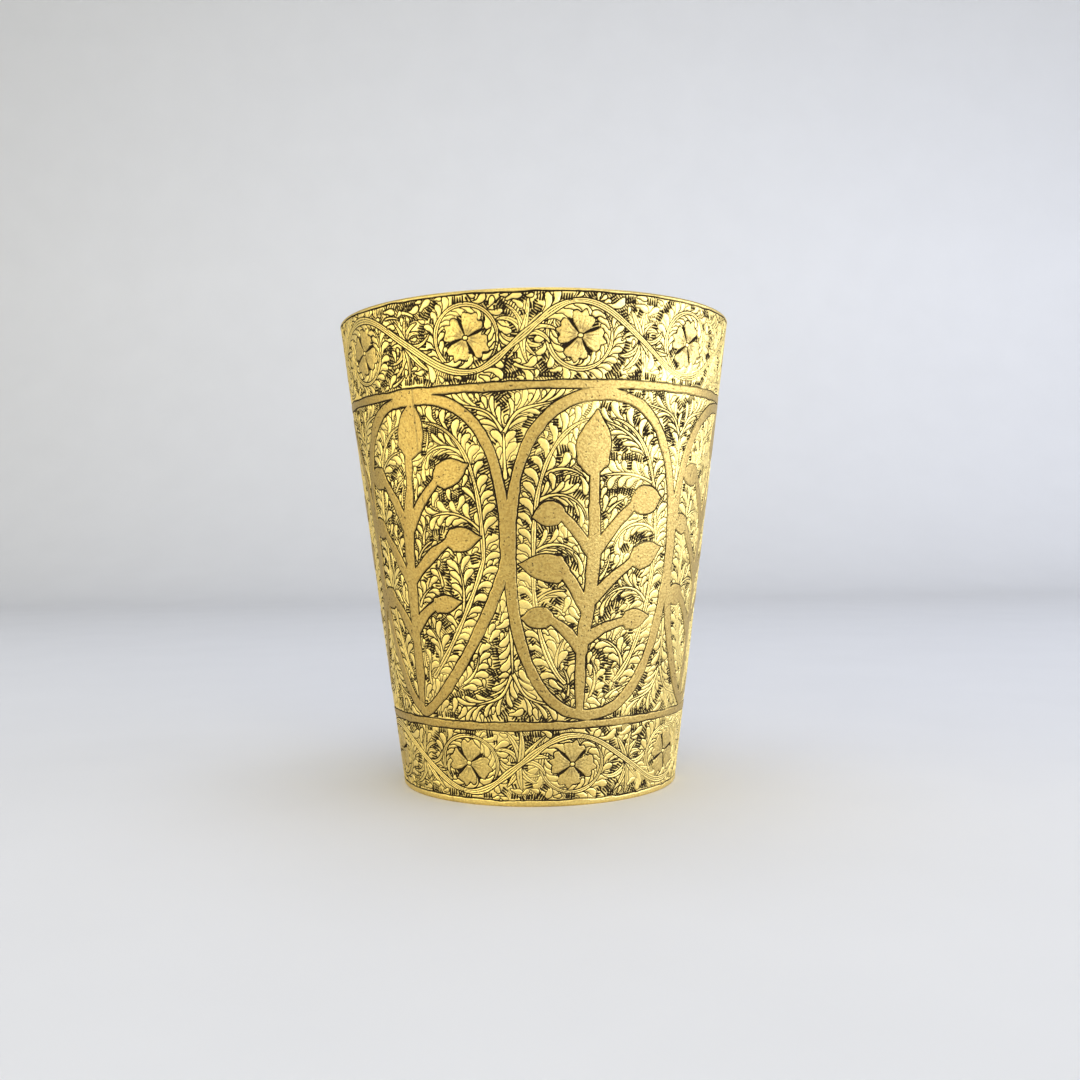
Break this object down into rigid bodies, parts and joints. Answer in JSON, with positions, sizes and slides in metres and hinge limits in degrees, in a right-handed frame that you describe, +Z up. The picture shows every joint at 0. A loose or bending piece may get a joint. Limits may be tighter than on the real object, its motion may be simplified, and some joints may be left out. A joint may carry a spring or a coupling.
{
  "type": "engraved brass tumbler",
  "caption": "Tapered brass drinking tumbler rolled from sheet with a brazed side seam and a brazed-in base disc, engraved all over with floral medallions.",
  "frame": {"origin": "centre of the circle the tumbler stands on", "axes": "+Z up along the tumbler's axis of revolution; the middle of the decoration faces -Y; the side seam is 37 degrees round from -Y towards -X"},
  "size_m": [0.081, 0.081, 0.095],
  "materials": {
    "wall_brass": "aged satin brass, engraved, dark patina in the cuts",
    "base_brass": "dull aged brass",
    "braze_alloy": "dull brazing alloy"
  },
  "bodies": {
    "root": {"body_wall": "wall_brass", "seam_braze": "braze_alloy", "base_disc": "base_brass", "base_braze": "braze_alloy"}
  },
  "joints": []
}
